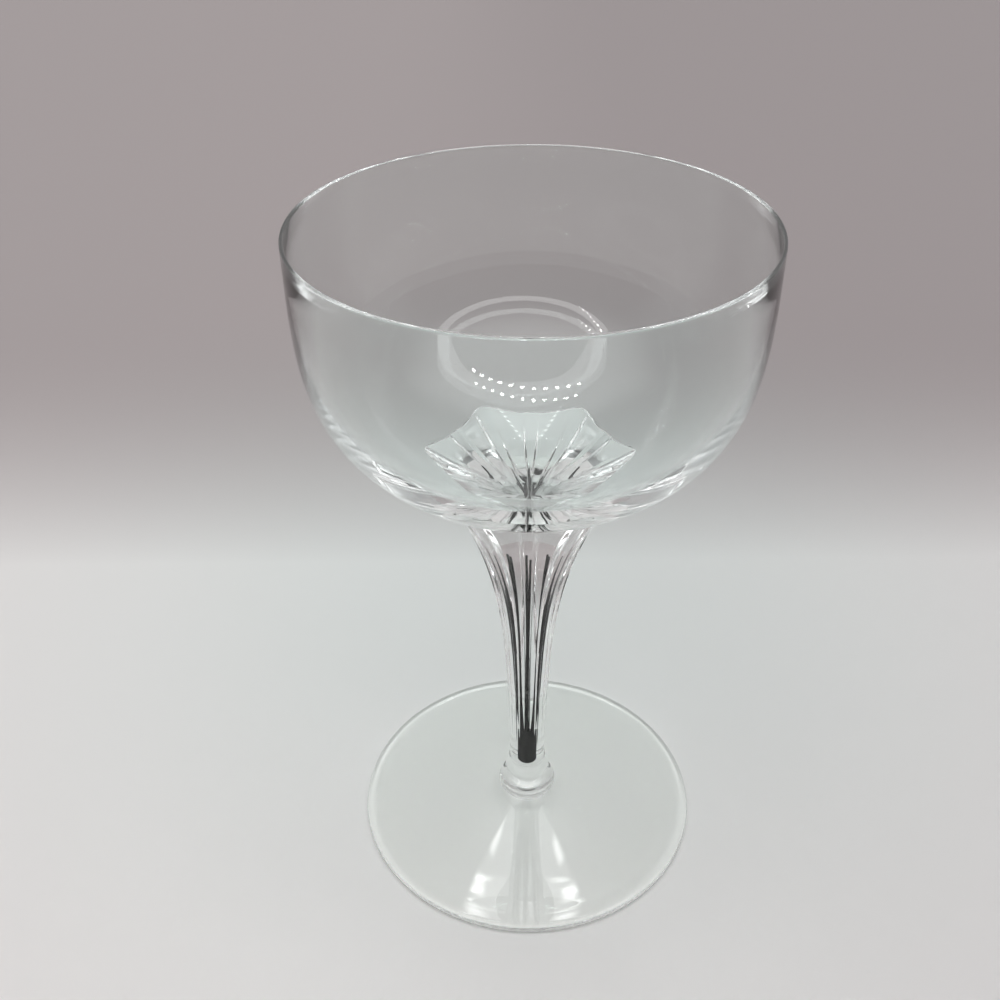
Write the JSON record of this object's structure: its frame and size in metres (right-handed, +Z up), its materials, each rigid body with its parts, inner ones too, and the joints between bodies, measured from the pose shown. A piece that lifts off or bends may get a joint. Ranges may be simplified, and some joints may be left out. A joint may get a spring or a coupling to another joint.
{
  "type": "coupe glass",
  "caption": "Round-bottomed clear glass bowl on a trumpet-shaped ribbed stem with black threads inside, standing on a flat round foot.",
  "frame": {"origin": "centre of the foot, on the plane that the glass stands on", "axes": "+Z up along the stem's axis towards the rim, -Y towards the viewer of the picture, +X to the viewer's right"},
  "size_m": [0.095, 0.095, 0.16],
  "materials": {
    "clear_glass": "clear colourless glass, fire-polished, with a faint green-grey tint where it is thick",
    "black_glass": "opaque black glass, smooth, enclosed in clear glass"
  },
  "bodies": {
    "root": {"bowl": "clear_glass", "fluted_stem": "clear_glass", "black_core": "black_glass", "black_thread_1": "black_glass", "black_thread_2": "black_glass", "black_thread_3": "black_glass", "black_thread_4": "black_glass", "black_thread_5": "black_glass", "black_thread_6": "black_glass", "bead": "clear_glass", "collar": "clear_glass", "foot": "clear_glass"}
  },
  "joints": []
}
